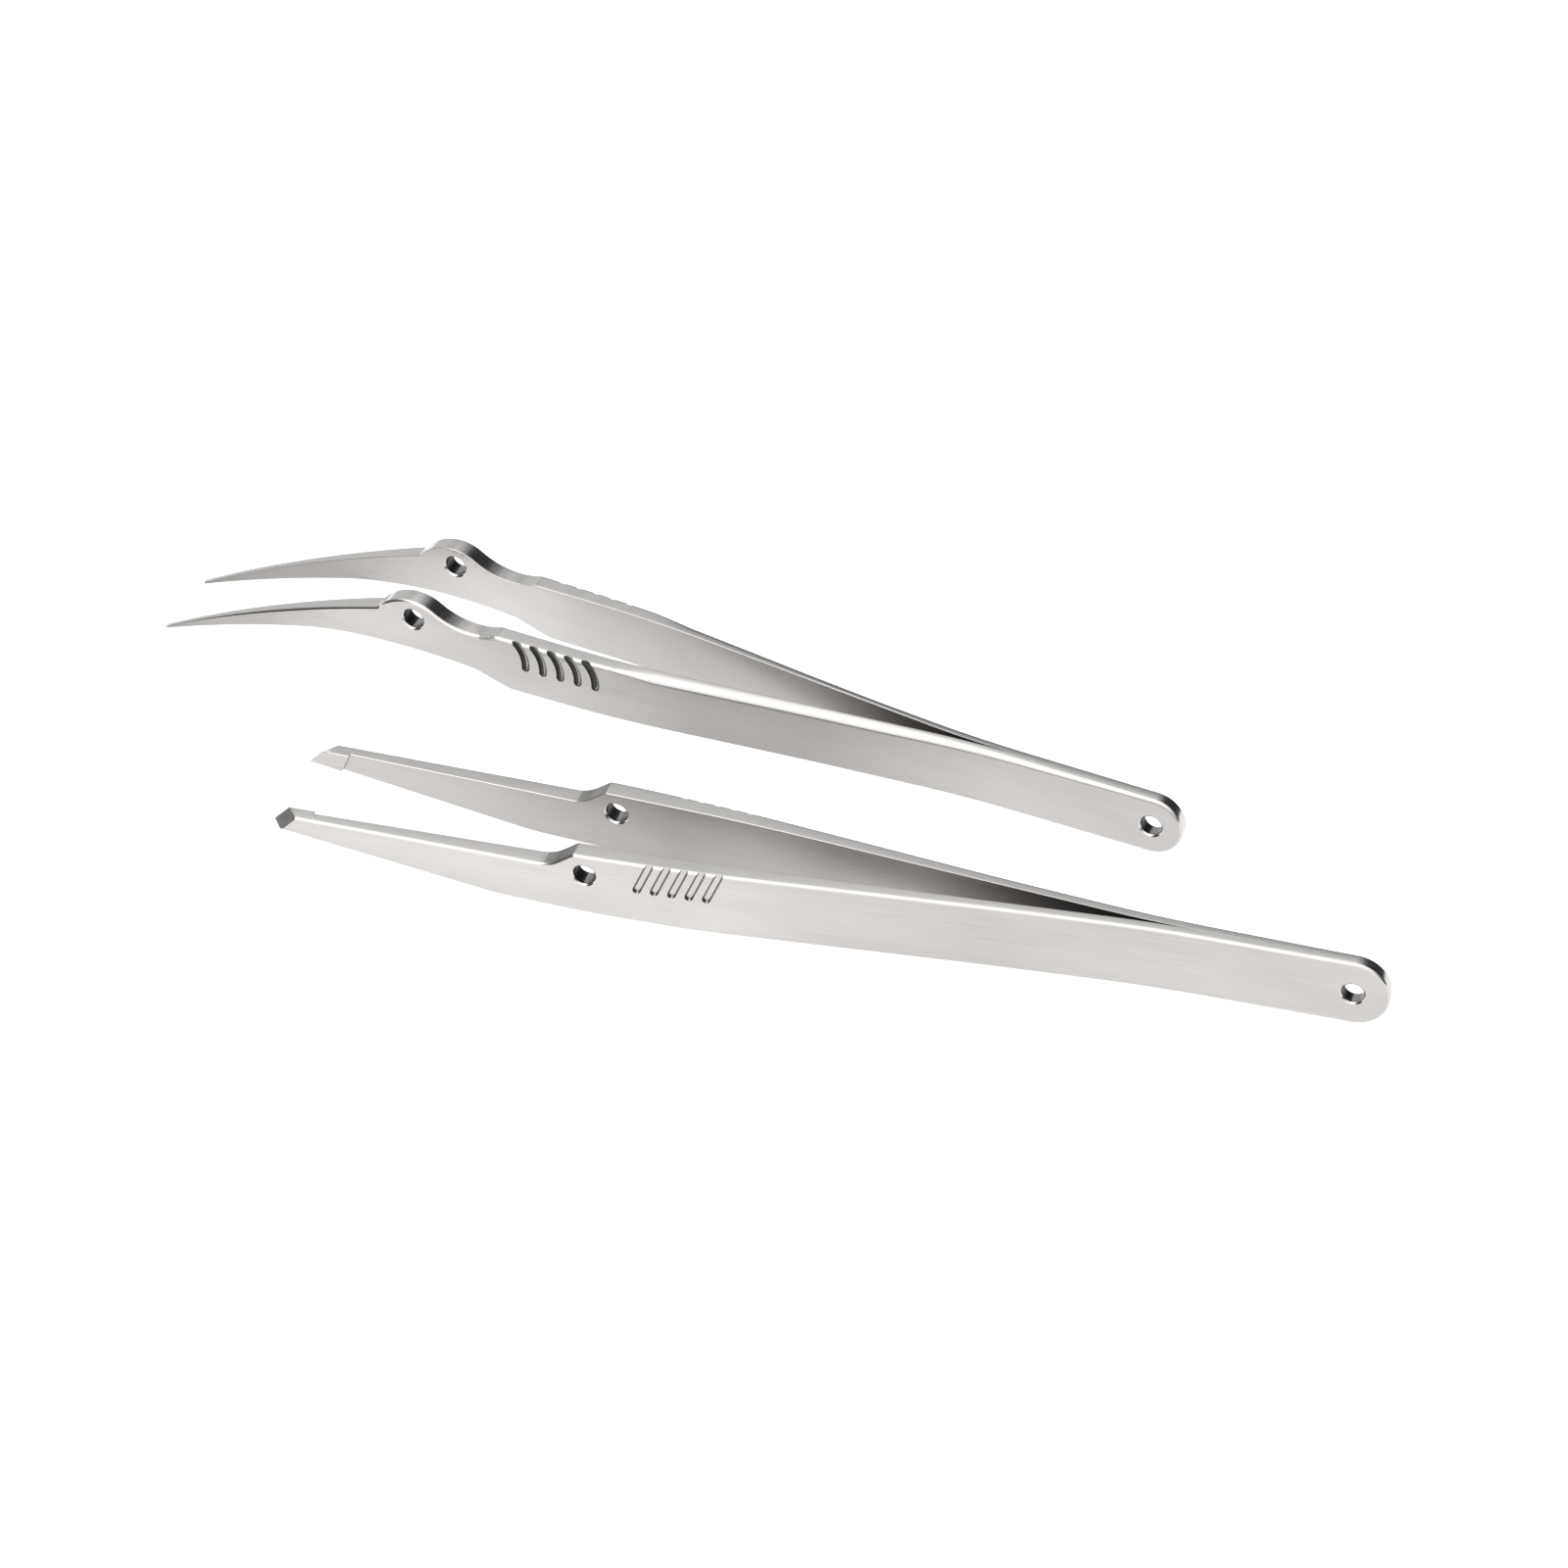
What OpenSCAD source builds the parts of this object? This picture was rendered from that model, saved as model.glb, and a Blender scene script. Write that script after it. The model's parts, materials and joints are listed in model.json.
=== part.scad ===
// A matched set of two spring tongs for handling prints and film.
// Each pair is two tapered strips standing on edge, joined at a round tail.
// The straight pair has flat padded jaws, the curved pair a hawk-bill blade.
// Each pair is drawn in its own frame: the hang hole's axis is at x = 0,
// the tips lie along -X, the two strips mirror each other across y = 0,
// and the lower edge of the tail is at z = 0.

/* [Strip, both pairs] */
// Thickness of one strip at the tail
tail_thickness = 1.4; // [1.2:0.1:1.6]
// Thickness of one strip where the two strips part
part_thickness = 1.9; // [1.6:0.1:2.0]
// Thickness of one strip at the point where it flexes
flex_thickness = 2.0; // [1.7:0.1:2.2]
// Thickness of one strip under the fingers
grip_thickness = 2.85; // [2.7:0.05:3.3]
// Thickness of one strip at the hole behind the jaw
head_thickness = 3.75; // [3.4:0.05:3.9]
// Distance from the hang hole at which the strips part
part_distance = 33; // [30:1:36]
// Half the length of the curve where the strips part
part_blend = 9; // [6:1:12]
// Distance from the hang hole to the flex line
flex_distance = 60; // [55:1:65]
// Gap left between the fixed and the moving metal at the flex line
flex_gap = 0.05; // [0.04:0.01:0.08]
// Distance from the hang hole to the start of the grip
grip_distance = 98; // [96:1:99]

/* [Holes, both pairs] */
// Radius of the hang hole through both tails
hang_hole_r = 1.9; // [1.6:0.1:2.2]
// Radius of the hole through each head
head_hole_r = 1.9; // [1.6:0.1:2.2]
// Width of the chamfer on each rim of a hole
rim_chamfer = 0.3; // [0.2:0.05:0.4]

/* [Grip grooves, both pairs] */
// Number of grooves in each grip
groove_count = 5; // [3:1:5]
// Width of a groove
groove_width = 1.3; // [0.8:0.1:1.4]
// Depth of a groove
groove_depth = 0.5; // [0.3:0.1:0.8]

/* [Straight pair] */
// Height of the strip on edge
straight_height = 12.35; // [12:0.05:12.8]
// Distance from the hang hole to the tip
straight_reach = 184; // [182:1:186]
// Angle between a strip and the middle plane along the arm
straight_spread = 4.8; // [4.5:0.1:5.0]
// Angle between a strip and the middle plane along the jaw
straight_jaw_spread = 1.95; // [1.6:0.05:2.2]
// Distance from the hang hole to the bend between arm and jaw
straight_bend = 106; // [104:1:110]
// Distance from the hang hole to the end of the grip
straight_grip_end = 121; // [121:0.5:123]
// Place of the head hole along and up the strip
straight_head_hole = [-128.2, 8.45];
// Height of the jaw's top edge
jaw_top = 9.3; // [9.1:0.05:9.6]
// Slope of the step from the head down to the jaw, in degrees
step_slope = 36; // [34:1:40]
// Radius of the hollow at the foot of the step
step_r = 6.3; // [5:0.1:7]
// Place of the foot of the step
step_foot = -136.4; // [-138:0.1:-135.5]
// Place where the lower edge leaves the ground
straight_belly = [-110.9, 0];
// Place where the lower edge bends up to the tip
chin = [-143.5, 1.0];
// Height of the tip's lower corner
tip_low = 6.5; // [6:0.1:7]
// Distance along the strip over which the tip's end slants back
tip_slant = 2.75; // [2:0.05:3.5]
// Thickness of the strip at the tip
straight_tip_thickness = 2.0; // [1.7:0.1:2.3]
// Distance by which the outer face stops short of the tip
tip_bevel = 2.3; // [1.6:0.1:2.6]
// Length of the raised pad at the tip
pad_length = 6.8; // [5:0.1:8]
// Height by which the pad stands off the inner face
pad_raise = 0.65; // [0.4:0.05:1.0]
// Foot of the straight groove nearest the tip
straight_groove_foot = [-119.15, 7.1];
// Lean of the straight grooves towards the tail, in degrees
groove_lean = 23; // [18:1:28]
// Pitch of the straight grooves
straight_groove_pitch = 2.95; // [2.8:0.05:3.0]

/* [Curved pair] */
// Height of the strip at the tail
curved_height = 11.1; // [10.9:0.1:11.4]
// Distance from the hang hole to the tip
curved_reach = 183.4; // [182:0.1:185]
// Depth of the tip below the line of the lower edge
tip_drop = 11.65; // [11:0.05:12.5]
// Angle between a strip and the middle plane along the arm
curved_spread = 6.05; // [5.8:0.05:6.2]
// Angle between a strip and the middle plane along the blade
curved_jaw_spread = 0.2; // [0:0.1:0.5]
// Distance from the hang hole to the bend between arm and blade
curved_bend = 95.5; // [94:0.5:98]
// Distance from the hang hole to the end of the grip
curved_grip_end = 118; // [117:0.5:119]
// Place of the head hole along and up the strip
curved_head_hole = [-133.6, 9.3];
// Centre of the round hump over the head hole
hump_centre = [-134, 5.08];
// Radius of that hump
hump_r = 7.8; // [7.6:0.1:8]
// Radius of the hollow between the grip and the hump
hollow_r = 13; // [12:0.5:14]
// Height of the bottom of that hollow
hollow_z = 9.65; // [9.5:0.05:9.8]
// Direction from the hump's centre to the top of the blade, in degrees
brow_angle = 147; // [140:1:155]
// Radius of the blade's top edge
blade_top_r = 238; // [200:2:260]
// Radius of the lower edge from the tip to the knee
blade_low_r = 259; // [220:1:300]
// Place where the lower edge turns from the blade to the arch
knee = [-153.4, -0.2];
// Radius of the arch under the head
arch_r = 85; // [75:1:95]
// Place where the arch ends
arch_foot = [-121.5, 2.15];
// Place of the corner under the grip
curved_belly = [-115.1, 0];
// Height of the blunt end of the blade
point_height = 0.4; // [0.3:0.1:0.8]
// Thickness of the strip at the tip
curved_tip_thickness = 0.75; // [0.6:0.05:1.2]
// Foot of the curved groove nearest the tip
curved_groove_foot = [-112.15, 5.75];
// Pitch of the curved grooves
curved_groove_pitch = 3.25; // [3:0.05:3.3]
// Radius of each groove's curve
groove_r = 6.6; // [6:0.1:7]

/* [Layout] */
// Place of the straight pair's hang hole on the ground
straight_at = [109.77, -25.016];
// Place of the curved pair's hang hole on the ground
curved_at = [67.641, 9.263];
// Turn of the curved pair about the vertical
curved_heading = -5.9; // [-7:0.1:-5]

/* [Hidden] */
$fn = 64;
// The front strip lies on the -Y side, the rear strip on the +Y side.
front = -1;
rear = 1;
bend_blend = 10;
station_step = 4;
far = 40;
metal = [0.78, 0.76, 0.74];
straight_tail_r = straight_height / 2;
curved_tail_r = curved_height / 2;
// The curved pair leans until its tips and its tail both touch the ground.
curved_tilt = atan(tip_drop / curved_reach);

// ---- helpers ----

// 0 before u = -blend, then a parabola, then u after u = blend.
function ramp(u, blend) =
    u <= -blend ? 0 : u >= blend ? u : pow(u + blend, 2) / (4 * blend);

// Distance of a strip's inner face from the middle plane.
function inner(d, spread, jaw_spread, bend) =
    tan(spread) * (ramp(d - part_distance, part_blend) - ramp(d - bend, bend_blend))
    + tan(jaw_spread) * ramp(d - bend, bend_blend);

// Thickness of a strip along its length.
function thickness(d, hole_d, tip_d, tip_thickness) = lookup(d, [
    [0, tail_thickness],
    [part_distance, part_thickness],
    [flex_distance, flex_thickness],
    [grip_distance, grip_thickness],
    [hole_d, head_thickness],
    [tip_d, tip_thickness]
]);

function straight_inner(d) = inner(d, straight_spread, straight_jaw_spread, straight_bend);
function curved_inner(d) = inner(d, curved_spread, curved_jaw_spread, curved_bend);
function straight_outer(d) = straight_inner(d)
    + thickness(d, -straight_head_hole.x, straight_reach, straight_tip_thickness);
function curved_outer(d) = curved_inner(d)
    + thickness(d, -curved_head_hole.x, curved_reach, curved_tip_thickness);

// Distances from one end of a piece to the other, in even steps.
function stations(from, to) =
    let (n = max(1, ceil((to - from) / station_step)))
    [for (i = [0 : n]) from + (to - from) * i / n];

// Points on an arc, in degrees anticlockwise from +X.
function arc(centre, r, start, end, n) =
    [for (i = [0 : n])
        let (a = start + (end - start) * i / n)
        centre + r * [cos(a), sin(a)]];

// Centre of the arc of radius r from p to q that bulges to the left of the way from p to q.
function arc_centre(p, q, r) =
    let (half = (q - p) / 2, h = sqrt(r * r - half * half))
    p + half + h * [half.y, -half.x] / norm(half);

// Direction of a vector in degrees.
function heading_of(v) = atan2(v.y, v.x);

// A shape drawn in x and z, made into a slab across both strips.
module slab() {
    rotate([90, 0, 0])
        linear_extrude(height = 2 * far, center = true)
            children();
}

// A block seen from above, between two lists of distances from the middle plane.
module plan(side, distances, inner_y, outer_y) {
    last = len(distances) - 1;
    inner_edge = [for (i = [0 : last]) [-distances[i], side * inner_y[i]]];
    outer_edge = [for (i = [last : -1 : 0]) [-distances[i], side * outer_y[i]]];
    translate([0, 0, -far])
        linear_extrude(height = 2 * far)
            polygon(concat(inner_edge, outer_edge));
}

// A round cutter along Y at a place in x and z, with its rims chamfered
// where it leaves the metal between near and away from the middle plane.
module hole_cutter(side, place, r, near, away, chamfer_near) {
    translate([place.x, 0, place.y])
        rotate([-90 * side, 0, 0]) {
            translate([0, 0, near - 1])
                cylinder(r = r, h = away - near + 2);
            translate([0, 0, away - rim_chamfer])
                cylinder(r1 = r, r2 = r + 2 * rim_chamfer, h = 2 * rim_chamfer);
            if (chamfer_near)
                translate([0, 0, near - rim_chamfer])
                    cylinder(r1 = r + 2 * rim_chamfer, r2 = r, h = 2 * rim_chamfer);
        }
}

// ---- the straight pair ----

// Outline of a straight strip from the hang hole to the tip, in x and z.
function straight_outline() =
    let (
        foot = [step_foot, jaw_top + step_r],
        rise = arc(foot, step_r, -90, step_slope - 90, 5),
        top = rise[len(rise) - 1],
        crest = [top.x + (straight_height - top.y) / tan(step_slope), straight_height]
    )
    concat(
        [[0, 0], [0, straight_height], crest],
        [for (i = [len(rise) - 1 : -1 : 0]) rise[i]],
        [[tip_slant - straight_reach, jaw_top], [-straight_reach, tip_low]],
        [chin, straight_belly]
    );

module straight_block(side, from, to) {
    d = stations(from, to);
    intersection() {
        slab()
            polygon(straight_outline());
        plan(side, d, [for (v = d) straight_inner(v)], [for (v = d) straight_outer(v)]);
    }
}

module straight_tail(side) {
    reach = flex_distance - flex_gap / 2;
    d = concat([-straight_tail_r], stations(0, reach));
    outer_y = [for (v = d) straight_outer(v)];
    difference() {
        intersection() {
            slab() {
                translate([0, straight_tail_r])
                    circle(r = straight_tail_r);
                polygon(straight_outline());
            }
            plan(side, d, [for (v = d) straight_inner(v)], outer_y);
        }
        hole_cutter(side, [0, straight_tail_r], hang_hole_r, 0, tail_thickness, false);
    }
}

module straight_arm(side) {
    straight_block(side, flex_distance + flex_gap / 2, grip_distance);
}

// A straight groove that leans towards the tail and is open at the top edge.
module straight_groove(side, foot) {
    translate([foot.x, side * (straight_outer(-foot.x) - groove_depth), foot.y])
        rotate([0, groove_lean, 0])
            rotate([-90 * side, 0, 0]) {
                cylinder(d = groove_width, h = 3);
                translate([-groove_width / 2, side < 0 ? 0 : -12, 0])
                    cube([groove_width, 12, 3]);
            }
}

module straight_grip(side) {
    difference() {
        straight_block(side, grip_distance, straight_grip_end);
        for (i = [0 : groove_count - 1])
            straight_groove(side, straight_groove_foot + [i * straight_groove_pitch, 0]);
    }
}

// The flat pad on the inner face of the tip.
module straight_pad(side) {
    d = [straight_reach - pad_length, straight_reach];
    intersection() {
        slab()
            polygon(straight_outline());
        plan(side, d, [for (v = d) straight_inner(v) - pad_raise],
            [for (v = d) straight_inner(v) + pad_raise]);
    }
}

// Cuts the outer corner of the tip back to its inner edge.
module tip_bevel_cutter(side) {
    slope = atan(tip_bevel / (straight_tip_thickness + pad_raise));
    translate([-straight_reach, side * (straight_inner(straight_reach) - pad_raise), tip_low])
        rotate([0, atan(tip_slant / (jaw_top - tip_low)), 0])
            rotate([0, 0, -side * slope])
                translate([-far, side < 0 ? -far : 0, -far])
                    cube([far, far, 2 * far]);
}

module straight_jaw(side) {
    hole_d = -straight_head_hole.x;
    difference() {
        union() {
            straight_block(side, straight_grip_end, straight_reach);
            straight_pad(side);
        }
        hole_cutter(side, straight_head_hole, head_hole_r,
            straight_inner(hole_d), straight_outer(hole_d), true);
        tip_bevel_cutter(side);
    }
}

// ---- the curved pair ----

// Outline of a curved strip from the hang hole to the tip, in x and z.
function curved_outline() =
    let (
        tip = [-curved_reach, -tip_drop],
        tip_top = tip + [0, point_height],
        rise = hollow_z + hollow_r - hump_centre.y,
        hollow = [
            hump_centre.x + sqrt(pow(hump_r + hollow_r, 2) - rise * rise),
            hollow_z + hollow_r
        ],
        meet = heading_of(hollow - hump_centre),
        brow = hump_centre + hump_r * [cos(brow_angle), sin(brow_angle)],
        blade = arc_centre(tip_top, brow, blade_top_r),
        low = arc_centre(tip, knee, blade_low_r),
        arch = arc_centre(knee, arch_foot, arch_r),
        arch_start = heading_of(knee - arch),
        arch_end = heading_of(arch_foot - arch)
    )
    concat(
        [[0, 0], [0, curved_height]],
        arc(hollow, hollow_r, -69, meet - 180, 6),
        arc(hump_centre, hump_r, meet, brow_angle, 10),
        arc(blade, blade_top_r, heading_of(brow - blade), heading_of(tip_top - blade), 12),
        arc(low, blade_low_r, heading_of(tip - low), heading_of(knee - low), 6),
        arc(arch, arch_r, arch_start + (arch_end - arch_start) / 8, arch_end, 7),
        [curved_belly]
    );

module curved_block(side, from, to) {
    d = stations(from, to);
    intersection() {
        slab()
            polygon(curved_outline());
        plan(side, d, [for (v = d) curved_inner(v)], [for (v = d) curved_outer(v)]);
    }
}

module curved_tail(side) {
    reach = flex_distance - flex_gap / 2;
    d = concat([-curved_tail_r], stations(0, reach));
    difference() {
        intersection() {
            slab() {
                translate([0, curved_tail_r])
                    circle(r = curved_tail_r);
                polygon(curved_outline());
            }
            plan(side, d, [for (v = d) curved_inner(v)], [for (v = d) curved_outer(v)]);
        }
        hole_cutter(side, [0, curved_tail_r], hang_hole_r, 0, tail_thickness, false);
    }
}

module curved_arm(side) {
    curved_block(side, flex_distance + flex_gap / 2, grip_distance);
}

// A curved groove: part of a ring, open at the top edge, with a round foot.
module curved_groove(side, foot) {
    bed = side * (curved_outer(-foot.x) - groove_depth);
    translate([foot.x - groove_r, bed, foot.y])
        rotate([-90 * side, 0, 0])
            intersection() {
                difference() {
                    cylinder(r = groove_r + groove_width / 2, h = 3);
                    translate([0, 0, -1])
                        cylinder(r = groove_r - groove_width / 2, h = 5);
                }
                translate([0, side < 0 ? 0 : -2 * groove_r, 0])
                    cube([2 * groove_r, 2 * groove_r, 3]);
            }
    translate([foot.x, bed, foot.y])
        rotate([-90 * side, 0, 0])
            cylinder(d = groove_width, h = 3);
}

module curved_grip(side) {
    difference() {
        curved_block(side, grip_distance, curved_grip_end);
        for (i = [0 : groove_count - 1])
            curved_groove(side, curved_groove_foot + [i * curved_groove_pitch, 0]);
    }
}

module curved_jaw(side) {
    hole_d = -curved_head_hole.x;
    difference() {
        curved_block(side, curved_grip_end, curved_reach);
        hole_cutter(side, curved_head_hole, head_hole_r,
            curved_inner(hole_d), curved_outer(hole_d), true);
    }
}

// ---- the pieces in their places ----

module place_straight() {
    color(metal)
        translate([straight_at.x, straight_at.y, 0])
            children();
}

module place_curved() {
    color(metal)
        translate([curved_at.x, curved_at.y, curved_tail_r * (1 - cos(curved_tilt))])
            rotate([0, curved_tilt, curved_heading])
                children();
}

module straight_front_tail() { place_straight() straight_tail(front); }
module straight_rear_tail() { place_straight() straight_tail(rear); }
module straight_front_arm() { place_straight() straight_arm(front); }
module straight_rear_arm() { place_straight() straight_arm(rear); }
module straight_front_grip() { place_straight() straight_grip(front); }
module straight_rear_grip() { place_straight() straight_grip(rear); }
module straight_front_jaw() { place_straight() straight_jaw(front); }
module straight_rear_jaw() { place_straight() straight_jaw(rear); }
module curved_front_tail() { place_curved() curved_tail(front); }
module curved_rear_tail() { place_curved() curved_tail(rear); }
module curved_front_arm() { place_curved() curved_arm(front); }
module curved_rear_arm() { place_curved() curved_arm(rear); }
module curved_front_grip() { place_curved() curved_grip(front); }
module curved_rear_grip() { place_curved() curved_grip(rear); }
module curved_front_jaw() { place_curved() curved_jaw(front); }
module curved_rear_jaw() { place_curved() curved_jaw(rear); }

straight_front_tail();
straight_rear_tail();
straight_front_arm();
straight_rear_arm();
straight_front_grip();
straight_rear_grip();
straight_front_jaw();
straight_rear_jaw();
curved_front_tail();
curved_rear_tail();
curved_front_arm();
curved_rear_arm();
curved_front_grip();
curved_rear_grip();
curved_front_jaw();
curved_rear_jaw();
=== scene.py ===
"""Looks for the set of two print tongs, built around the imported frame.

Each of the four metal strips is one smooth piece from tail to tip. It is made
flat, with rounded edges, holes and grooves, and is then bent to the shape that
the strip has when the tongs are open. Lengths here are in millimetres in a
pair's own frame, as in the CAD: x = 0 at the hang hole's axis, the tips along
-x, z up from the lower edge, y = 0 midway between the two strips.
"""
import json
import math

import bmesh
import bpy
from mathutils import Matrix, Vector


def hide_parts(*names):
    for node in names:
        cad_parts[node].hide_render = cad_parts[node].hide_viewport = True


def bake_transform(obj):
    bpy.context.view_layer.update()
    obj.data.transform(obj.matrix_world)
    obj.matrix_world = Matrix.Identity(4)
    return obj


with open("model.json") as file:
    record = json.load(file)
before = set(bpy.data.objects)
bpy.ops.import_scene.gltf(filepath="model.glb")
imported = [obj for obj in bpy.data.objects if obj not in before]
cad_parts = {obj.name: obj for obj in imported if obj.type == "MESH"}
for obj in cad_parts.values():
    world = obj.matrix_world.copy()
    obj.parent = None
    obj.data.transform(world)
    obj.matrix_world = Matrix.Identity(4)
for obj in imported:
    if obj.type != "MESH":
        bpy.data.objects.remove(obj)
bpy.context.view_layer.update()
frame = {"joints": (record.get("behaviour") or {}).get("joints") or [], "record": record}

MM = 0.001

# ---------------------------------------------------------------- dimensions
# Both pairs, in millimetres and degrees.
PART_AT, PART_BLEND = 33, 9
FLEX_AT, GRIP_AT, BEND_BLEND = 60, 98, 10
TAIL_THICK, PART_THICK, FLEX_THICK, GRIP_THICK, HEAD_THICK = 1.4, 1.9, 2.0, 2.85, 3.75
HOLE_R, RIM = 1.9, 0.3
OUTER_ROUND, TOP_ROUND = 0.6, 0.8
ROUND_STEPS = 4
STATION_STEP = 2.0
# Thickness of the flat solid that a strip is made from before it is bent.
FLAT = 10.0
GROOVE_HALF, GROOVE_DEPTH = 0.65, 0.5
GROOVE_COUNT = 5
GROOVES_FROM, GROOVES_TO, GROOVE_FOOT = 97, 121, 3
STEP_FROM, STEP_TO, STEP_FOOT = 130, 137, 9.4

STRAIGHT = {
    "name": "straight", "height": 12.35, "reach": 184, "spread": 4.8,
    "jaw_spread": 1.95, "bend": 106, "hole": (-128.2, 8.45), "tip_thick": 2.0,
    "inner_round": 0.14, "pad": 6.35, "pad_raise": 0.65,
    # Painted shade on the brushed sides: darkening factors by distance from the hang hole, for
    # the outer and the inner faces.
    "outer_painted_shade": [(0, 0.9), (45, 0.87), (92, 0.88), (106, 1.0), (184, 1.0)],
    "inner_painted_shade": [(50, 0.55), (62, 0.66), (75, 0.84), (90, 0.7), (105, 0.74), (118, 0.64),
                   (135, 0.71), (150, 0.8), (184, 0.92)],
}
CURVED = {
    "name": "curved", "height": 11.1, "reach": 183.4, "spread": 6.05,
    "jaw_spread": 0.2, "bend": 95.5, "hole": (-133.6, 9.3), "tip_thick": 0.75,
    "inner_round": 0.1, "pad": 0.0, "pad_raise": 0.0,
    # Painted shade on the brushed sides: darkening factors by distance from the hang hole, for
    # the outer and the inner faces.
    "outer_painted_shade": [(0, 0.88), (28, 0.85), (45, 0.72), (62, 0.62), (82, 0.61), (106, 0.84),
                   (126, 0.9), (150, 0.92), (162, 0.72), (184, 0.55)],
    "inner_painted_shade": [(50, 0.6), (62, 0.78), (90, 0.8), (115, 1.0), (128, 1.0), (142, 0.86),
                   (152, 0.68), (164, 0.6), (184, 0.42)],
}
# The straight pair's tip.
TIP_SLANT, TIP_LOW, JAW_TOP, TIP_BEVEL = 2.75, 6.5, 9.3, 2.3
PAD_LEAN, PAD_EDGE_FROM, PAD_EDGE_TO = 0.4, 176, 179

# Places in the list of finishes; the last two are rougher cut steel whose dark colour is painted
# shade.
BRUSHED, POLISHED, CUT_DEEP_SHADE, CUT_HALF_SHADE = range(4)


# ---------------------------------------------------------------- plane curves
def ramp(u, blend):
    """0 before u = -blend, then a parabola, then u after u = blend."""
    if u <= -blend:
        return 0.0
    if u >= blend:
        return u
    return (u + blend) ** 2 / (4 * blend)


def smoothstep(value, low, high):
    t = min(1.0, max(0.0, (value - low) / (high - low)))
    return t * t * (3 - 2 * t)


def table(value, pairs):
    """Straight-line look-up in a list of (place, value), held level at the ends."""
    if value <= pairs[0][0]:
        return pairs[0][1]
    for (x0, y0), (x1, y1) in zip(pairs, pairs[1:]):
        if value <= x1:
            return y0 + (y1 - y0) * (value - x0) / (x1 - x0)
    return pairs[-1][1]


def inner_gap(d, pair):
    """Distance of a strip's inner face from the middle plane, at distance d."""
    arm = math.tan(math.radians(pair["spread"]))
    jaw = math.tan(math.radians(pair["jaw_spread"]))
    bent = ramp(d - pair["bend"], BEND_BLEND)
    return arm * (ramp(d - PART_AT, PART_BLEND) - bent) + jaw * bent


def thickness(d, pair):
    """Thickness of a strip at distance d from the hang hole."""
    knots = [
        (0, TAIL_THICK), (PART_AT, PART_THICK), (FLEX_AT, FLEX_THICK),
        (GRIP_AT, GRIP_THICK), (-pair["hole"][0], HEAD_THICK),
        (pair["reach"], pair["tip_thick"]),
    ]
    spread = 6.0
    return sum(table(d + s * spread, knots) for s in (-1, -0.5, 0, 0.5, 1)) / 5


def arc(centre, r, start, end, steps):
    """Points on an arc, in degrees anticlockwise from +x."""
    points = []
    for i in range(steps + 1):
        a = math.radians(start + (end - start) * i / steps)
        points.append((centre[0] + r * math.cos(a), centre[1] + r * math.sin(a)))
    return points


def angle_to(centre, point):
    return math.degrees(math.atan2(point[1] - centre[1], point[0] - centre[0]))


def arc_centre(p, q, r):
    """Centre of the arc of radius r from p to q that bulges to the left of the way."""
    half = Vector(((q[0] - p[0]) / 2, (q[1] - p[1]) / 2))
    h = math.sqrt(r * r - half.length_squared)
    across = Vector((half.y, -half.x)).normalized()
    return tuple(Vector(p) + half + across * h)


def soften(points, corners, r, steps=3):
    """Rounds the numbered corners of a closed outline to radius r."""
    made = []
    for i, p in enumerate(points):
        if i not in corners:
            made.append(p)
            continue
        here = Vector(p)
        back = (Vector(points[i - 1]) - here).normalized()
        on = (Vector(points[(i + 1) % len(points)]) - here).normalized()
        half = back.angle(on) / 2
        run = r / math.tan(half)
        a, b = here + back * run, here + on * run
        for k in range(steps + 1):
            t = k / steps
            made.append(tuple(a * (1 - t) ** 2 + here * 2 * t * (1 - t) + b * t * t))
    return made


def tail_end(r, steps=28):
    """The round end, from the top of the tail to the bottom, round the tail's end."""
    return arc((0, r), r, 90, -90, steps)


def straight_outline():
    """The straight strip's outline in x and z, clockwise from the tip's top."""
    height, reach = STRAIGHT["height"], STRAIGHT["reach"]
    step_r, slope, foot_x = 6.3, 36.0, -136.4
    crest_r, belly_r = 1.2, 40
    rise = arc((foot_x, JAW_TOP + step_r), step_r, -90, slope - 90, 7)
    last = rise[-1]
    crest = (last[0] + (height - last[1]) / math.tan(math.radians(slope)), height)
    chin, belly = (-143.5, 1.0), (-110.9, 0)
    points = [(TIP_SLANT - reach, JAW_TOP)] + rise + [crest]
    crest_index = len(points) - 1
    points += tail_end(height / 2)
    points += [belly, chin]
    chin_index = len(points) - 1
    points += [(-reach, TIP_LOW)]
    rounded = soften(points, {crest_index}, crest_r)
    shift = len(rounded) - len(points)
    return soften(rounded, {chin_index + shift, chin_index + shift - 1}, belly_r, 6)


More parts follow.
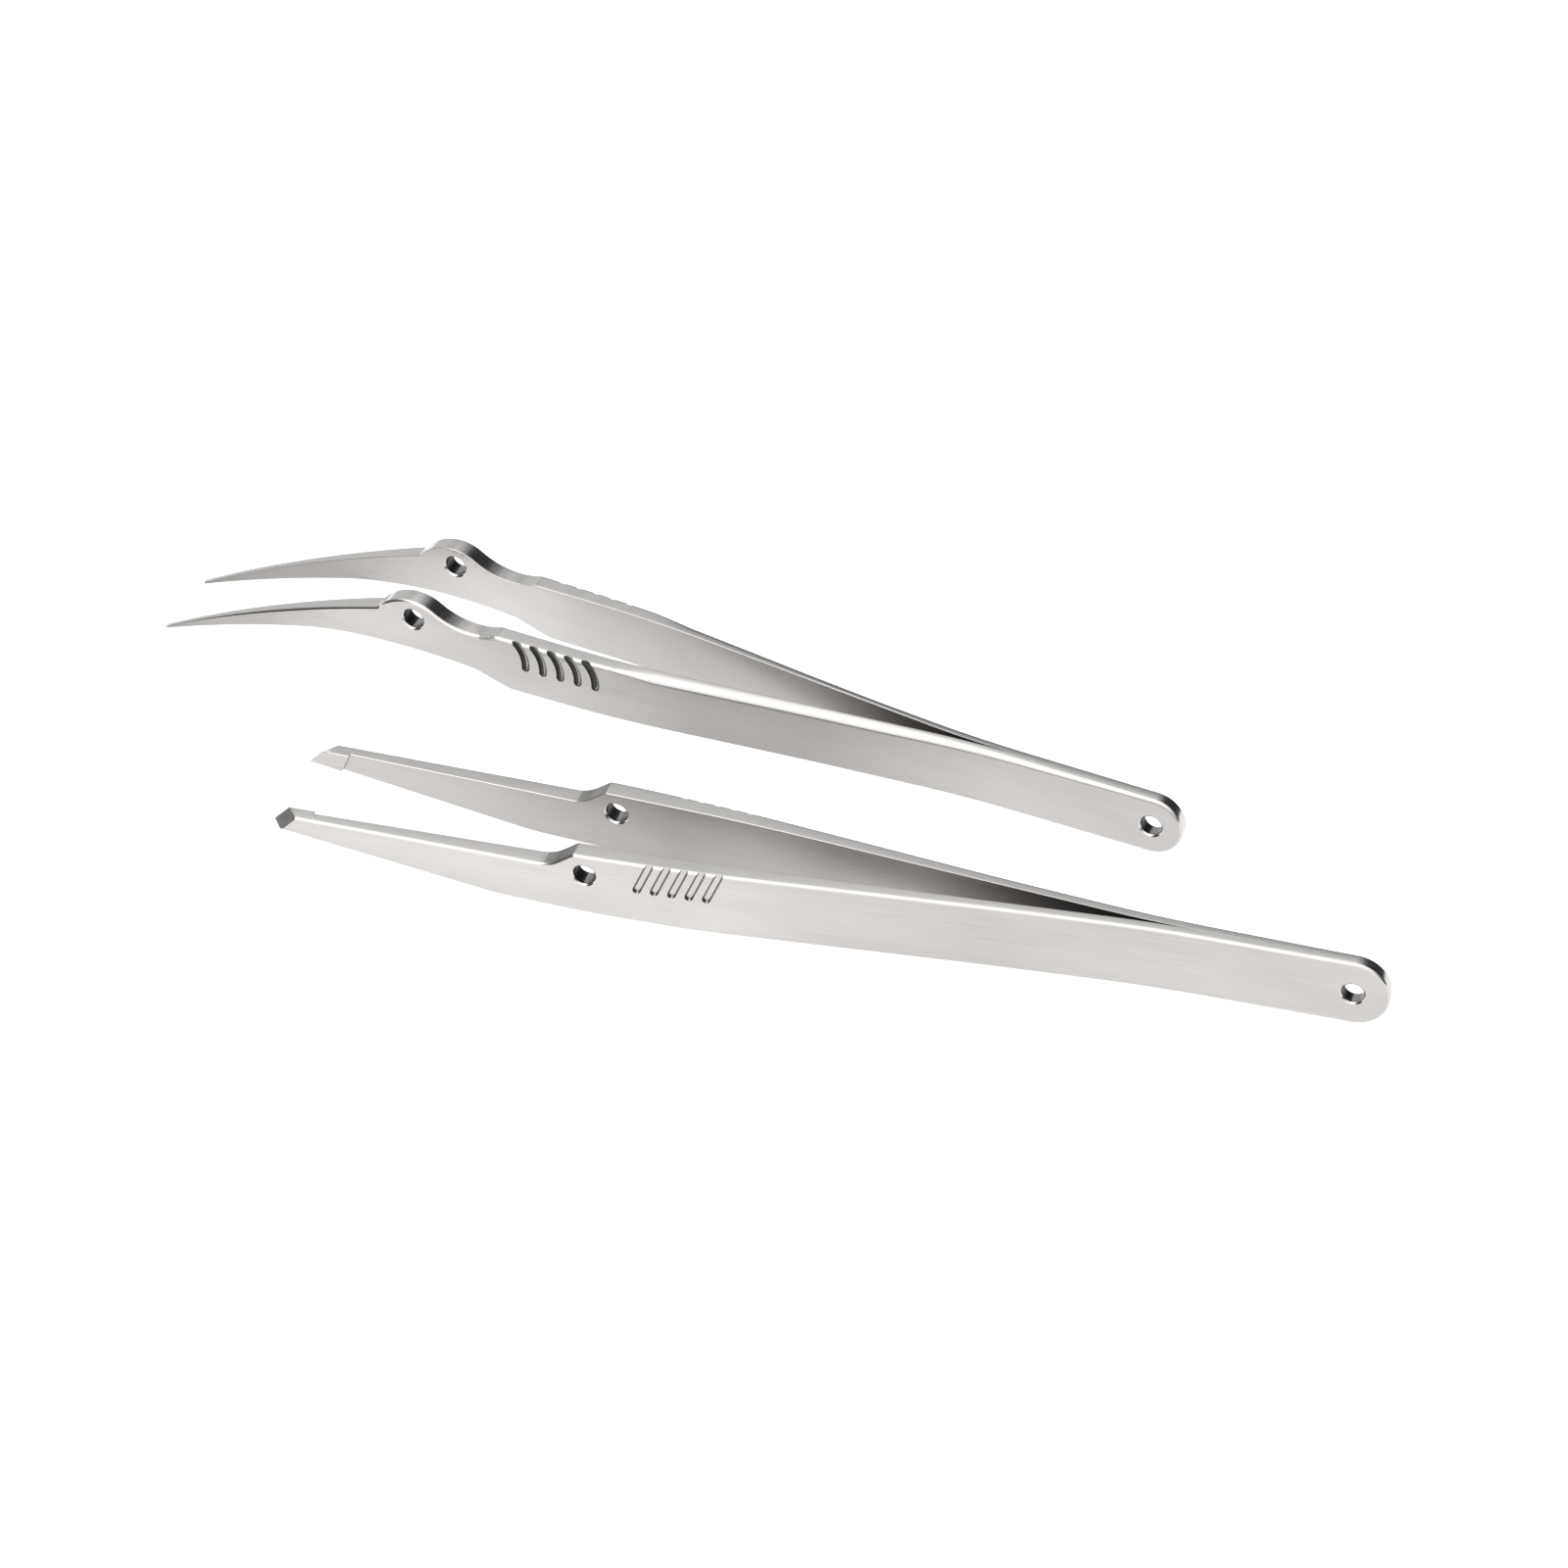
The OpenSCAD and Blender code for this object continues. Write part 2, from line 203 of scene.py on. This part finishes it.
def curved_outline():
    """The curved strip's outline in x and z, clockwise from the tip's top."""
    height, reach = CURVED["height"], CURVED["reach"]
    hump, hump_r, hollow_r, hollow_z = (-134, 5.08), 7.8, 13, 9.65
    blade_r, arch_r, low_r, corner_r, brow_r = 238, 85, 259, 6, 1.5
    brow_angle, crest_angle = 147, -69
    tip, tip_top = (-reach, -11.65), (-reach, -11.25)
    knee, arch_foot, belly = (-153.4, -0.2), (-121.5, 2.15), (-115.1, 0)
    rise = hollow_z + hollow_r - hump[1]
    hollow = (hump[0] + math.sqrt((hump_r + hollow_r) ** 2 - rise ** 2), hollow_z + hollow_r)
    meet = angle_to(hump, hollow)
    brow = arc(hump, hump_r, brow_angle, brow_angle, 1)[0]
    blade = arc_centre(tip_top, brow, blade_r)
    arch = arc_centre(knee, arch_foot, arch_r)
    low = arc_centre(tip, knee, low_r)
    points = arc(blade, blade_r, angle_to(blade, tip_top), angle_to(blade, brow), 30)
    brow_index = len(points) - 1
    points += arc(hump, hump_r, brow_angle, meet, 22)[1:]
    points += arc(hollow, hollow_r, meet - 180, crest_angle, 12)[1:]
    # Points along the straight top, where the rounding of the edge changes.
    back, crest = -points[-1][0], points[-1][1]
    points += [(-d, height + (crest - height) * d / back) for d in (96, 93, 89, 50, 28)]
    points += tail_end(height / 2)
    points += [belly]
    corner = len(points) - 1
    points += arc(arch, arch_r, angle_to(arch, arch_foot), angle_to(arch, knee), 18)
    points += arc(low, low_r, angle_to(low, knee), angle_to(low, tip), 20)[1:]
    return soften(soften(points, {corner}, corner_r, 4), {brow_index}, brow_r)


# ---------------------------------------------------------------- flat strips
def edge_rounds(x, z, pair):
    """Radius of the rounding along the inner and the outer edge at a place."""
    d = -x
    inner = 0.004 + pair["inner_round"] * smoothstep(d, PART_AT - 4, PART_AT + 8)
    outer = OUTER_ROUND
    if pair is STRAIGHT:
        return inner, outer
    if z > pair["height"] / 2:
        # The curved pair's arms are rounded well over along the top.
        outer += TOP_ROUND * smoothstep(d, 8, 50) * (1 - smoothstep(d, 89, 96))
    near_tip = 0.16 + 0.84 * smoothstep(pair["reach"] - d, 0, 26)
    return inner * near_tip, outer * near_tip


def corner_offsets(points):
    """For each point of a clockwise outline, the way into the metal for an inset of 1."""
    ways = []
    for i, p in enumerate(points):
        before = (Vector(p) - Vector(points[i - 1])).normalized()
        after = (Vector(points[(i + 1) % len(points)]) - Vector(p)).normalized()
        n0, n1 = Vector((before.y, -before.x)), Vector((after.y, -after.x))
        both = n0 + n1
        ways.append(both / max(0.35, both.length_squared / 2))
    return ways


def loft(bm, rings):
    """Joins rings of points, in order, into a closed solid with flat ends."""
    made = [[bm.verts.new(p) for p in ring] for ring in rings]
    count = len(made[0])
    for lower, upper in zip(made, made[1:]):
        for i in range(count):
            j = (i + 1) % count
            bm.faces.new((lower[i], lower[j], upper[j], upper[i]))
    bm.faces.new(list(reversed(made[0])))
    bm.faces.new(made[-1])


def distinct(points, least=0.02):
    """Drops a point that lies on the one before it."""
    kept = []
    for p in points:
        if not kept or (Vector(p) - Vector(kept[-1])).length > least:
            kept.append(p)
    if (Vector(kept[0]) - Vector(kept[-1])).length <= least:
        kept.pop()
    return kept


def flat_strip(outline, pair):
    """The strip as a flat solid: y = 0 is the inner face and y = FLAT the outer face."""
    points = distinct(outline)
    ways = corner_offsets(points)
    rings = []
    for face in ("inner", "outer"):
        for k in range(ROUND_STEPS + 1):
            a = math.radians(90 * k / ROUND_STEPS)
            ring = []
            for p, way in zip(points, ways):
                r = edge_rounds(*p, pair)[0 if face == "inner" else 1]
                inset = r * (1 - math.sin(a)) if face == "inner" else r * (1 - math.cos(a))
                depth = r * (1 - math.cos(a)) if face == "inner" else FLAT - r * (1 - math.sin(a))
                ring.append((p[0] + way.x * inset, depth, p[1] + way.y * inset))
            rings.append(ring)
    bm = bmesh.new()
    loft(bm, rings)
    bmesh.ops.recalc_face_normals(bm, faces=bm.faces)
    return bm


def hole_cutter(bm, place, chamfer_inner):
    """A round cutter through the strip, flared at its rims."""
    levels = [(FLAT + 2, RIM + 2), (FLAT, RIM), (FLAT - RIM * 0.45, RIM * 0.35), (FLAT - RIM, 0)]
    if chamfer_inner:
        levels += [(RIM, 0), (RIM * 0.45, RIM * 0.35), (0, RIM), (-2, RIM + 2)]
    else:
        levels += [(-2, 0)]
    rings = []
    for depth, wider in levels:
        circle = arc(place, HOLE_R + wider, 0, 360, 56)[:-1]
        rings.append([(x, depth, z) for x, z in circle])
    loft(bm, rings)


def groove_cutter(bm, path, levels):
    """A cutter along a path that starts at the groove's foot; levels are (depth, half width)."""
    ways = [(Vector(b) - Vector(a)).normalized() for a, b in zip(path, path[1:])]
    ways.append(ways[-1])
    rings = []
    for depth, half in levels:
        left = [Vector(p) + Vector((-w.y, w.x)) * half for p, w in zip(path, ways)]
        right = [Vector(p) - Vector((-w.y, w.x)) * half for p, w in zip(path, ways)]
        start = math.degrees(math.atan2(ways[0].x, -ways[0].y))
        cap = [Vector(p) for p in arc(path[0], half, start, start + 180, 12)[1:-1]]
        outline = list(reversed(left)) + cap + right
        rings.append([(p.x, FLAT - depth, p.y) for p in outline])
    loft(bm, rings)


def slot_levels():
    """Section of a straight groove: flat floor and steep walls."""
    half = GROOVE_HALF
    return [(-2.0, half + 0.1), (0.0, half + 0.1), (0.08, half + 0.02), (0.42, half - 0.15),
            (GROOVE_DEPTH, half - 0.23)]


def scoop_levels():
    """Section of a curved groove: a round hollow with an eased rim."""
    levels = [(-2.0, GROOVE_HALF + 0.1), (0.0, GROOVE_HALF + 0.1), (0.07, GROOVE_HALF)]
    for k in range(1, 6):
        a = math.radians(78 * k / 5)
        levels.append((0.07 + (GROOVE_DEPTH + 0.03) * math.sin(a), GROOVE_HALF * math.cos(a)))
    return levels


def straight_grooves():
    """Paths of the straight pair's grooves, each from its foot to past the top edge."""
    lean = math.radians(23)
    first_x, pitch, foot_z = -119.15, 2.95, 7.1
    paths = []
    for i in range(GROOVE_COUNT):
        foot = Vector((first_x + pitch * i, foot_z))
        way = Vector((math.sin(lean), math.cos(lean)))
        paths.append([tuple(foot + way * s) for s in (0, 3, 6, 9)])
    return paths


def curved_grooves():
    """Paths of the curved pair's grooves: rings from the foot to past the top edge."""
    r, sweep = 6.6, 78
    first_x, pitch, foot_z = -112.15, 3.25, 5.75
    return [arc((first_x + pitch * i - r, foot_z), r, 0, sweep, 16) for i in range(GROOVE_COUNT)]


def cut(solid, cutters):
    """A new mesh: the solid with the cutters taken out of it."""
    target = bpy.data.objects.new("target", solid)
    tool = bpy.data.objects.new("tool", cutters)
    for o in (target, tool):
        bpy.context.scene.collection.objects.link(o)
    boolean = target.modifiers.new("cut", "BOOLEAN")
    boolean.operation = "DIFFERENCE"
    boolean.solver = "EXACT"
    boolean.use_self = True
    boolean.object = tool
    evaluated = target.evaluated_get(bpy.context.evaluated_depsgraph_get())
    made = bpy.data.meshes.new_from_object(evaluated)
    for o in (target, tool):
        bpy.data.objects.remove(o)
    return made


def to_mesh(bm, name):
    mesh = bpy.data.meshes.new(name)
    bm.to_mesh(mesh)
    bm.free()
    return mesh


def slice_at(bm, x, lean=0.0, z=0.0):
    """Adds a line of vertices across every face at x, leaning by lean in x per unit of z."""
    everything = list(bm.verts) + list(bm.edges) + list(bm.faces)
    normal = Vector((1, 0, -lean)).normalized()
    bmesh.ops.bisect_plane(bm, geom=everything, dist=1e-5, plane_co=(x, 0, z), plane_no=normal)


# ---------------------------------------------------------------- bent strips
def stations(pair):
    """Places along x where the flat strip is sliced before it is bent."""
    count = round(pair["reach"] / STATION_STEP)
    return [-(i * pair["reach"] / count) for i in range(count)]


def bend_strip(bm, pair, side):
    """Moves the flat strip's vertices to the shape it has when the tongs are open."""
    places = sorted(-x for x in stations(pair)) + [pair["reach"] + 2.0]
    gap = [(d, inner_gap(d, pair)) for d in places]
    thick = [(d, thickness(d, pair)) for d in places]
    for v in bm.verts:
        d = -v.co.x
        inner = table(d, gap)
        full = table(d, thick)
        if v.co.y < FLAT / 2:
            pad_at = pair["reach"] - pair["pad"] - PAD_LEAN * (v.co.z - TIP_LOW)
            raised = pair["pad_raise"] if pair["pad"] and d > pad_at - 1e-4 else 0.0
            v.co.y = inner + v.co.y - raised
        else:
            v.co.y = inner + full - (FLAT - v.co.y)
        v.co.y *= side
    if side < 0:
        bmesh.ops.reverse_faces(bm, faces=bm.faces)


def bevel_tip(bm, pair, side):
    """Cuts the straight tip's outer corner back to its inner edge."""
    inner = inner_gap(pair["reach"], pair) - pair["pad_raise"]
    point = Vector((-pair["reach"], side * inner, TIP_LOW))
    along = Vector((TIP_SLANT, 0, JAW_TOP - TIP_LOW))
    back = Vector((TIP_BEVEL, side * (pair["tip_thick"] + pair["pad_raise"]), 0))
    normal = along.cross(back)
    if normal.x > 0:
        normal.negate()
    everything = list(bm.verts) + list(bm.edges) + list(bm.faces)
    made = bmesh.ops.bisect_plane(
        bm, geom=everything, dist=1e-5, plane_co=point, plane_no=normal, clear_outer=True)
    rim = [g for g in made["geom_cut"] if isinstance(g, bmesh.types.BMEdge)]
    bmesh.ops.holes_fill(bm, edges=rim, sides=0)


def strip_mesh(pair, side):
    """One metal strip of a pair, in the pair's own frame, in millimetres."""
    outline = straight_outline() if pair is STRAIGHT else curved_outline()
    grooves = straight_grooves() if pair is STRAIGHT else curved_grooves()
    levels = slot_levels() if pair is STRAIGHT else scoop_levels()
    solid = to_mesh(flat_strip(outline, pair), "solid")
    tool = bmesh.new()
    hole_cutter(tool, (0, pair["height"] / 2), False)
    hole_cutter(tool, pair["hole"], True)
    for path in grooves:
        groove_cutter(tool, path, levels)
    bmesh.ops.recalc_face_normals(tool, faces=tool.faces)
    bm = bmesh.new()
    bm.from_mesh(cut(solid, to_mesh(tool, "cutters")))
    for x in stations(pair):
        slice_at(bm, x)
    if pair["pad"]:
        for nudge in (0.0, 0.05):
            slice_at(bm, pair["pad"] - pair["reach"] + nudge, PAD_LEAN, TIP_LOW)
    bend_strip(bm, pair, side)
    if pair is STRAIGHT:
        bevel_tip(bm, pair, side)
    return bm


def in_a_hole(centre, pair):
    """True for a place on the wall of the hang hole or of the head hole."""
    holes = [(0, pair["height"] / 2), pair["hole"]]
    return any(math.hypot(centre.x - x, centre.z - z) < HOLE_R + 0.02 for x, z in holes)


def in_a_groove(centre, normal, pair):
    """True for a place on the wall or the hollow of a grip groove."""
    d = -centre.x
    if not GROOVES_FROM < d < GROOVES_TO or centre.z > pair["height"] - 0.1:
        return False
    depth = inner_gap(d, pair) + thickness(d, pair) - abs(centre.y)
    on_top_edge = normal.z > 0.15 and abs(normal.x) < 0.2 and centre.z > pair["height"] - 1.2
    in_the_cut = 0.02 < depth < GROOVE_DEPTH + 0.1 and centre.z > GROOVE_FOOT
    return in_the_cut and not on_top_edge


def on_the_step(centre, normal, pair):
    """True for a place on the milled slope between the straight head and the jaw."""
    at_step = STEP_FROM < -centre.x < STEP_TO and centre.z > STEP_FOOT
    return pair is STRAIGHT and at_step and normal.x < -0.12


def on_the_pad_edge(centre, normal, pair):
    """True for a place on the low wall where the straight pair's pad begins."""
    at_pad = PAD_EDGE_FROM < -centre.x < PAD_EDGE_TO
    return pair is STRAIGHT and at_pad and abs(normal.x) > 0.5


def finish_of(face, pair):
    """The finish of a face, as its place in the list of finishes."""
    centre, normal = face.calc_center_median(), face.normal
    # Hole walls get painted shade: near black where they face +x, grey elsewhere.
    if in_a_hole(centre, pair):
        return CUT_DEEP_SHADE if normal.x > 0.1 else CUT_HALF_SHADE
    # Groove walls get the same painted shade, darkest on the walls that face +x.
    if in_a_groove(centre, normal, pair):
        if pair is CURVED:
            return CUT_DEEP_SHADE if normal.x > 0.05 else CUT_HALF_SHADE
        if abs(normal.y) < 0.97:
            return CUT_DEEP_SHADE if normal.x > 0.1 and normal.z > 0.05 else CUT_HALF_SHADE
    # The milled step and the pad's edge get the grey painted shade.
    if on_the_step(centre, normal, pair) or on_the_pad_edge(centre, normal, pair):
        return CUT_HALF_SHADE
    return BRUSHED if abs(normal.y) > 0.97 else POLISHED


def painted_shade_of(v, pair):
    """How far painted shade darkens the brushed side at a vertex, by distance along the strip:
    painted reflections of the shaded parts nearby, with their own table for the inner sides.
    """
    d = -v.co.x
    middle = inner_gap(d, pair) + thickness(d, pair) / 2
    return table(d, pair["inner_painted_shade"] if abs(v.co.y) < middle else pair["outer_painted_shade"])


def finish_mesh(bm, name, place, pair):
    """Puts the strip in its place, with its own lengthwise coordinates kept for the finish."""
    layer = bm.verts.layers.float_vector.new("strip")
    # Each vertex also keeps its painted shade, a darkening factor for the brushed sides.
    tone = bm.verts.layers.float.new("tone")
    for v in bm.verts:
        v[layer] = (v.co.x, v.co.z, v.co.y)
        v[tone] = painted_shade_of(v, pair)
    for f in bm.faces:
        f.smooth = True
        f.material_index = finish_of(f, pair)
    bmesh.ops.transform(bm, matrix=place, verts=bm.verts)
    bmesh.ops.triangulate(bm, faces=[f for f in bm.faces if len(f.verts) > 4])
    mesh = to_mesh(bm, name)
    mesh.set_sharp_from_angle(angle=math.radians(32))
    return mesh


# ---------------------------------------------------------------- places
def mount(name):
    return next(m for m in frame["record"]["mounts"] if m["name"] == name)


def joint(name):
    return next(j for j in frame["joints"] if j["name"] == name)


def pair_place(pair):
    """Matrix from a pair's own frame, in millimetres, to the set's frame, in metres."""
    hang = mount(pair["name"] + "_hang_hole")
    up = Vector(joint(pair["name"] + "_rear_squeeze")["axis"]).normalized()
    across = Vector(hang["axis"]).normalized()
    if across.y < 0:
        across.negate()
    along = across.cross(up)
    origin = Vector(hang["pos_m"]) - up * (pair["height"] / 2 * MM)
    turn = Matrix((along, across, up)).transposed().to_4x4()
    return Matrix.Translation(origin) @ turn @ Matrix.Scale(MM, 4)


# ---------------------------------------------------------------- materials
def new_material(name):
    material = bpy.data.materials.new(name)
    material.use_nodes = True
    nodes = material.node_tree.nodes
    nodes.clear()
    return material, nodes, material.node_tree.links


def noise(nodes, links, vector, scale, detail, roughness=0.5):
    """A noise texture of a vector that is first stretched by scale."""
    mapping = nodes.new("ShaderNodeMapping")
    mapping.inputs["Scale"].default_value = scale
    links.new(vector, mapping.inputs["Vector"])
    texture = nodes.new("ShaderNodeTexNoise")
    texture.inputs["Scale"].default_value = 1.0
    texture.inputs["Detail"].default_value = detail
    texture.inputs["Roughness"].default_value = roughness
    links.new(mapping.outputs["Vector"], texture.inputs["Vector"])
    return texture.outputs["Fac"]


def map_range(nodes, links, value, low, high, out_low, out_high):
    node = nodes.new("ShaderNodeMapRange")
    for socket, number in (("From Min", low), ("From Max", high),
                           ("To Min", out_low), ("To Max", out_high)):
        node.inputs[socket].default_value = number
    links.new(value, node.inputs["Value"])
    return node.outputs["Result"]


def blend_colours(nodes, links, factor, dark, light):
    node = nodes.new("ShaderNodeMix")
    node.data_type = "RGBA"
    node.inputs["A"].default_value = (*dark, 1)
    node.inputs["B"].default_value = (*light, 1)
    links.new(factor, node.inputs["Factor"])
    return node.outputs["Result"]


def darken_by_painted_shade(nodes, links, colour):
    """The colour, darkened or not by the painted shade that each vertex of the strip holds."""
    place = nodes.new("ShaderNodeAttribute")
    place.attribute_name = "tone"
    scaled = nodes.new("ShaderNodeVectorMath")
    scaled.operation = "SCALE"
    links.new(colour, scaled.inputs[0])
    links.new(place.outputs["Fac"], scaled.inputs["Scale"])
    return scaled.outputs["Vector"]


def steel(name, dark, light, rough_low, rough_high, bump_strength, with_painted_shade=False):
    """Steel brushed along the strip: fine streaks in colour, roughness and height."""
    material, nodes, links = new_material(name)
    strip = nodes.new("ShaderNodeAttribute")
    strip.attribute_name = "strip"
    vector = strip.outputs["Vector"]
    streaks = noise(nodes, links, vector, (0.05, 5.0, 0.6), 5, 0.6)
    fine = noise(nodes, links, vector, (0.12, 16.0, 2.0), 3, 0.5)
    cloud = noise(nodes, links, vector, (0.03, 0.12, 0.1), 2, 0.5)
    both = nodes.new("ShaderNodeMath")
    both.operation = "MULTIPLY_ADD"
    both.inputs[1].default_value = 0.55
    links.new(streaks, both.inputs[0])
    links.new(map_range(nodes, links, cloud, 0, 1, 0, 0.45), both.inputs[2])
    tone = map_range(nodes, links, both.outputs[0], 0.32, 0.68, 0, 1)
    shader = nodes.new("ShaderNodeBsdfPrincipled")
    shader.inputs["Metallic"].default_value = 1.0
    colour = blend_colours(nodes, links, tone, dark, light)
    # Painted shade: the brushed colour is darkened by each vertex's factor.
    if with_painted_shade:
        colour = darken_by_painted_shade(nodes, links, colour)
    links.new(colour, shader.inputs["Base Color"])
    rough = map_range(nodes, links, streaks, 0.3, 0.7, rough_low, rough_high)
    links.new(rough, shader.inputs["Roughness"])
    bump = nodes.new("ShaderNodeBump")
    bump.inputs["Strength"].default_value = bump_strength
    bump.inputs["Distance"].default_value = 0.00002
    links.new(fine, bump.inputs["Height"])
    links.new(bump.outputs["Normal"], shader.inputs["Normal"])
    output = nodes.new("ShaderNodeOutputMaterial")
    links.new(shader.outputs["BSDF"], output.inputs["Surface"])
    return material


def lit_floor(name, colour, glow):
    """A matt white surface that also glows, so that it stays white in the tongs' shadow."""
    material, nodes, links = new_material(name)
    place = nodes.new("ShaderNodeTexCoord")
    cloud = noise(nodes, links, place.outputs["Object"], (3, 3, 3), 2)
    lighter = tuple(c * 1.02 for c in colour)
    shader = nodes.new("ShaderNodeBsdfPrincipled")
    shader.inputs["Roughness"].default_value = 0.9
    shader.inputs["Specular IOR Level"].default_value = 0.05
    shader.inputs["Emission Color"].default_value = (1, 1, 1, 1)
    shader.inputs["Emission Strength"].default_value = glow
    links.new(blend_colours(nodes, links, cloud, colour, lighter), shader.inputs["Base Color"])
    output = nodes.new("ShaderNodeOutputMaterial")
    links.new(shader.outputs["BSDF"], output.inputs["Surface"])
    return material


# ---------------------------------------------------------------- the pieces
def make_strip(pair, side, materials):
    """One strip of a pair, made as one mesh in place of its tail, arm, grip and jaw parts, which
    are hidden.
    """
    which = "front" if side < 0 else "rear"
    name = f"{pair['name']}_{which}_strip"
    place = pair_place(pair)
    mesh = finish_mesh(strip_mesh(pair, side), name, place, pair)
    strip = bpy.data.objects.new(name, mesh)
    bpy.context.scene.collection.objects.link(strip)
    for material in materials:
        mesh.materials.append(material)
    weighted = strip.modifiers.new("normals", "WEIGHTED_NORMAL")
    weighted.keep_sharp = True
    weighted.weight = 80
    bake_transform(strip)
    zones = [f"{pair['name']}_{which}_{zone}" for zone in ("tail", "arm", "grip", "jaw")]
    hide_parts(*zones)


# In the order of BRUSHED, POLISHED and the two cut finishes, whose dark colours are painted
# shade, deep then half.
FINISHES = [
    steel("brushed_steel", (0.475, 0.457, 0.442), (0.60, 0.58, 0.561), 0.28, 0.38, 0.25, True),
    steel("polished_edge", (0.54, 0.525, 0.511), (0.58, 0.565, 0.55), 0.16, 0.22, 0.08),
    # Painted deep shade and painted half shade, on rougher cut steel.
    steel("painted_deep_shade_cut", (0.04, 0.039, 0.038), (0.09, 0.087, 0.084), 0.35, 0.5, 0.2),
    steel("painted_half_shade_cut", (0.27, 0.262, 0.254), (0.37, 0.36, 0.35), 0.30, 0.42, 0.2),
]
for tongs in (STRAIGHT, CURVED):
    for strip_side in (-1, 1):
        make_strip(tongs, strip_side, FINISHES)


# ---------------------------------------------------------------- the studio
def make_floor():
    mesh = bpy.data.meshes.new("floor")
    half = 3.0
    corners = [(-half, -half, 0), (half, -half, 0), (half, half, 0), (-half, half, 0)]
    mesh.from_pydata(corners, [], [(0, 1, 2, 3)])
    mesh.materials.append(lit_floor("floor_white", (0.35, 0.35, 0.35), 1.0))
    floor = bpy.data.objects.new("floor", mesh)
    bpy.context.scene.collection.objects.link(floor)


def make_area_light(name, place, target, size, power):
    light = bpy.data.lights.new(name, "AREA")
    light.shape = "RECTANGLE"
    light.size, light.size_y = size
    light.energy = power
    lamp = bpy.data.objects.new(name, light)
    lamp.location = place
    lamp.rotation_euler = (Vector(target) - Vector(place)).to_track_quat("-Z", "Y").to_euler()
    bpy.context.scene.collection.objects.link(lamp)


def near_direction(nodes, links, direction, towards, inner, outer):
    """1 near one direction of the sky, fading to 0 between two angles from it."""
    dot = nodes.new("ShaderNodeVectorMath")
    dot.operation = "DOT_PRODUCT"
    dot.inputs[1].default_value = Vector(towards).normalized()
    links.new(direction, dot.inputs[0])
    low, high = math.cos(math.radians(outer)), math.cos(math.radians(inner))
    return map_range(nodes, links, dot.outputs["Value"], low, high, 0.0, 1.0)


def make_world():
    """A soft dome: dark at the back's horizon, grey higher up, white overhead and in front."""
    world = bpy.data.worlds.new("studio")
    world.use_nodes = True
    nodes, links = world.node_tree.nodes, world.node_tree.links
    nodes.clear()
    place = nodes.new("ShaderNodeTexCoord")
    direction = place.outputs["Generated"]
    split = nodes.new("ShaderNodeSeparateXYZ")
    links.new(direction, split.inputs["Vector"])
    shades = nodes.new("ShaderNodeValToRGB")
    stops = [(0.0, 0.05), (0.30, 0.09), (0.45, 0.16), (0.60, 0.36), (0.76, 0.85), (1.0, 0.9)]
    ramp_stops = shades.color_ramp.elements
    for i, (at, shade) in enumerate((stops[0], stops[-1])):
        ramp_stops[i].color = (shade, shade, shade, 1)
    for at, shade in stops[1:-1]:
        ramp_stops.new(at).color = (shade, shade, shade, 1)
    links.new(split.outputs["Z"], shades.inputs["Fac"])
    tone = shades.outputs["Color"]
    # A white wall in front, dark screens at the front left and the back right, and a grey
    # one at the back left: where each points, its two angles, its brightness.
    screens = [((0, -1, 0.1), 38, 60, 0.8), ((-0.75, -0.42, 0.51), 20, 29, 0.02),
               ((-0.56, 0.76, 0.30), 12, 22, 0.42), ((0.56, 0.70, 0.45), 18, 46, 0.02)]
    for towards, inner, outer, brightness in screens:
        nearness = near_direction(nodes, links, direction, towards, inner, outer)
        mix = nodes.new("ShaderNodeMix")
        mix.inputs["B"].default_value = brightness
        links.new(nearness, mix.inputs["Factor"])
        links.new(tone, mix.inputs["A"])
        tone = mix.outputs["Result"]
    background = nodes.new("ShaderNodeBackground")
    background.inputs["Strength"].default_value = 2.0
    links.new(tone, background.inputs["Color"])
    output = nodes.new("ShaderNodeOutputWorld")
    links.new(background.outputs["Background"], output.inputs["Surface"])
    bpy.context.scene.world = world


def make_camera():
    """A long lens looking down at the set, from the tail side of straight ahead."""
    azimuth, elevation, roll = math.radians(16.807), math.radians(37.718), math.radians(-0.141)
    distance = 0.92768
    target = Vector((0.003112, 0.00825, 0))
    back = Vector((math.sin(azimuth) * math.cos(elevation),
                   -math.cos(azimuth) * math.cos(elevation), math.sin(elevation)))
    data = bpy.data.cameras.new("camera")
    data.sensor_width = 36
    data.lens = 123.708
    camera = bpy.data.objects.new("camera", data)
    camera.location = target + back * distance
    look = (-back).to_track_quat("-Z", "Y").to_matrix().to_4x4()
    camera.rotation_euler = (look @ Matrix.Rotation(roll, 4, "Z")).to_euler()
    bpy.context.scene.collection.objects.link(camera)
    bpy.context.scene.camera = camera


make_floor()
make_world()
make_area_light("key", (-0.5, -0.7, 1.3), (0, 0, 0), (1.2, 0.8), 5)
make_camera()
bpy.context.scene.view_settings.view_transform = "Standard"
